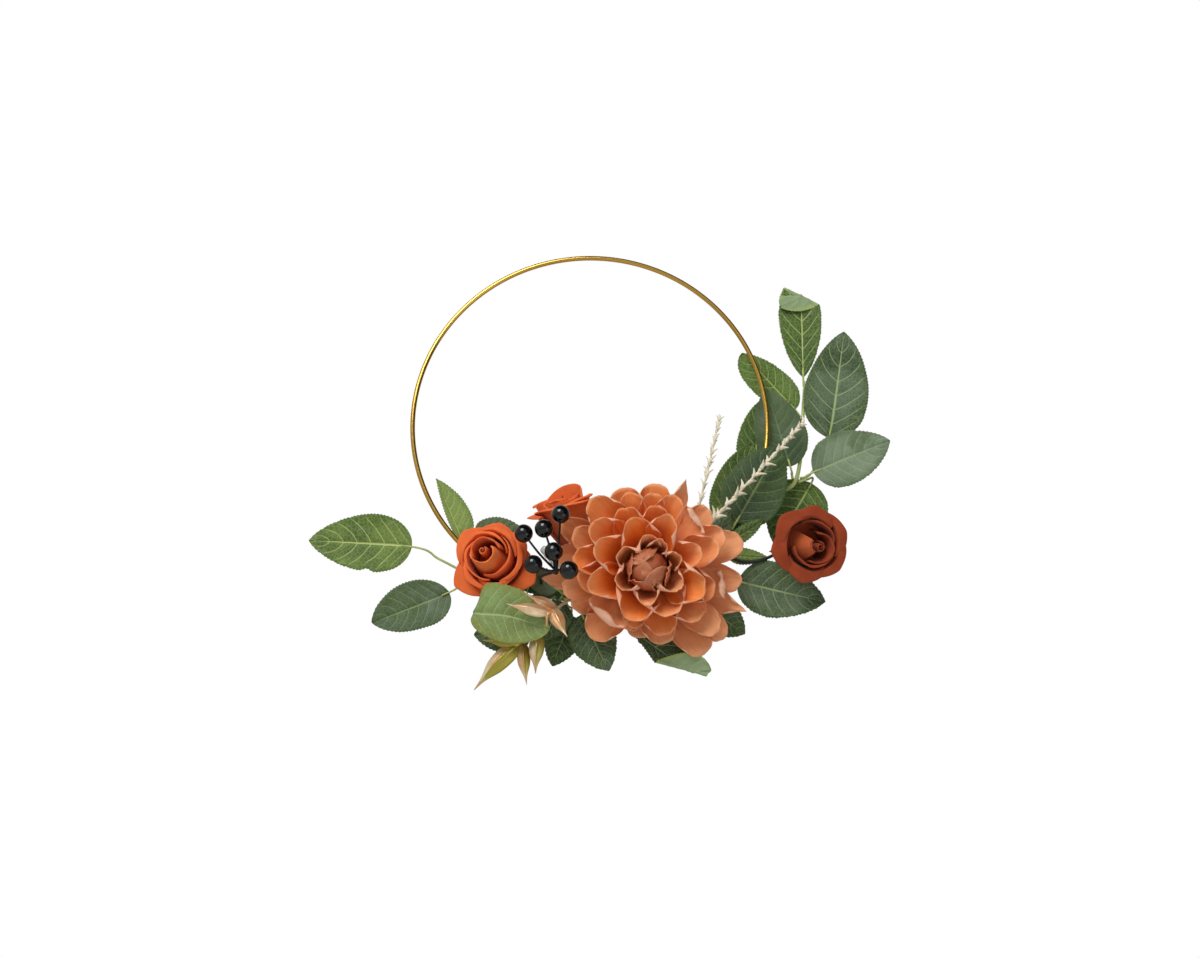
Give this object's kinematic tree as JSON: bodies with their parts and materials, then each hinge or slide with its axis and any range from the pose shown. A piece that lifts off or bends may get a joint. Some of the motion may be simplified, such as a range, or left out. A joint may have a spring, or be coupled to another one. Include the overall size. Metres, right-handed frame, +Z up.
{
  "type": "door wreath",
  "caption": "Open metal hoop wreath with artificial flowers, foam roses, berries, pods, grasses and leaf sprays bound along its lower part.",
  "frame": {"origin": "inner top of the hoop's wire, where the wreath hangs on its hook", "axes": "+Z up, the decorated front faces -Y, +X to the viewer's right"},
  "size_m": [0.4767, 0.1193, 0.3773],
  "materials": {
    "hoop_gold": "polished gold plating on wire",
    "stem_tape": "waxed crepe paper tape",
    "tie_wire": "green enamelled wire",
    "clear_glue": "clear set glue",
    "stem_green": "moulded green plastic",
    "dahlia_cloth": "stiffened cloth petals, orange to peach",
    "orange_foam": "matt craft foam",
    "rust_foam": "matt craft foam",
    "black_wire": "black coated wire",
    "berry_black": "glossy lacquer",
    "pod_gold": "metallic gold lacquer",
    "grass_cream": "dried grass",
    "leaf_bright": "printed cloth",
    "leaf_dark": "printed cloth",
    "leaf_light": "printed cloth"
  },
  "bodies": {
    "bound_arrangement": {"hoop": "hoop_gold", "tape_wrap": "stem_tape", "wire_tie_1": "tie_wire", "wire_tie_2": "tie_wire", "glue_bead": "clear_glue", "dahlia_stem": "stem_green", "dahlia_calyx": "stem_green", "dahlia_bud": "dahlia_cloth", "dahlia_whorl_1": "dahlia_cloth", "dahlia_whorl_2": "dahlia_cloth", "dahlia_whorl_3": "dahlia_cloth", "dahlia_whorl_4": "dahlia_cloth", "dahlia_whorl_5": "dahlia_cloth", "rose_left_stem": "black_wire", "rose_left_outer": "orange_foam", "rose_left_middle": "orange_foam", "rose_left_heart": "orange_foam", "rose_rear_stem": "black_wire", "rose_rear_outer": "orange_foam", "rose_rear_heart": "orange_foam", "rose_low_stem": "black_wire", "rose_low_head": "rust_foam", "gold_spray": "pod_gold", "leaf_left_tall": "leaf_bright", "leaf_left_rear": "leaf_dark", "leaf_front_light": "leaf_light", "leaf_front_dark": "leaf_dark", "leaf_low_1": "leaf_dark", "leaf_low_2": "leaf_dark", "leaf_low_3": "leaf_dark", "leaf_right_1": "leaf_dark", "leaf_right_2": "leaf_dark", "leaf_inner_front": "leaf_dark", "leaf_inner_rear": "leaf_bright", "leaf_olive": "leaf_light"},
    "left_spray": {"left_spray_stem": "stem_green", "leaf_left_upper": "leaf_bright", "leaf_left_lower": "leaf_dark"},
    "right_spray": {"right_spray_stem": "stem_green", "leaf_top": "leaf_bright", "leaf_high_right": "leaf_dark", "leaf_far_right": "leaf_dark", "leaf_high_left": "leaf_bright", "leaf_mid": "leaf_dark", "leaf_mid_rear": "leaf_bright", "leaf_behind_rose": "leaf_bright"},
    "rust_rose": {"rose_right_stem": "black_wire", "rose_right_sepals": "stem_green", "rose_right_outer": "rust_foam", "rose_right_middle": "rust_foam", "rose_right_heart": "rust_foam"},
    "berry_spray": {"berry_stem": "black_wire", "berry_1": "berry_black", "berry_2": "berry_black", "berry_3": "berry_black", "berry_4": "berry_black", "berry_5": "berry_black", "berry_6": "berry_black"},
    "front_grass": {"grass_front": "grass_cream"},
    "rear_grass": {"grass_rear": "grass_cream"}
  },
  "joints": [
    {"name": "left_spray_bend", "type": "hinge", "parent": "bound_arrangement", "child": "left_spray", "pos_m": [-0.07444, 0, -0.27392], "axis": [0, 1, 0], "range_deg": [-10, 10]},
    {"name": "right_spray_bend", "type": "hinge", "parent": "bound_arrangement", "child": "right_spray", "pos_m": [0.13879, 0, -0.19739], "axis": [0, 1, 0], "range_deg": [-8, 8]},
    {"name": "rust_rose_bend", "type": "hinge", "parent": "bound_arrangement", "child": "rust_rose", "pos_m": [0.10448, 0, -0.25082], "axis": [0, 0, -1], "range_deg": [0, 25]},
    {"name": "berry_spray_bend", "type": "hinge", "parent": "bound_arrangement", "child": "berry_spray", "pos_m": [-0.03951, 0, -0.28863], "axis": [1, 0, 0], "range_deg": [0, 12]},
    {"name": "grass_front_bend", "type": "hinge", "parent": "bound_arrangement", "child": "front_grass", "pos_m": [0.08941, 0, -0.26394], "axis": [0, 1, 0], "range_deg": [-8, 8]},
    {"name": "grass_rear_bend", "type": "hinge", "parent": "bound_arrangement", "child": "rear_grass", "pos_m": [0.08291, 0, -0.2686], "axis": [0, 1, 0], "range_deg": [-6, 6]}
  ]
}
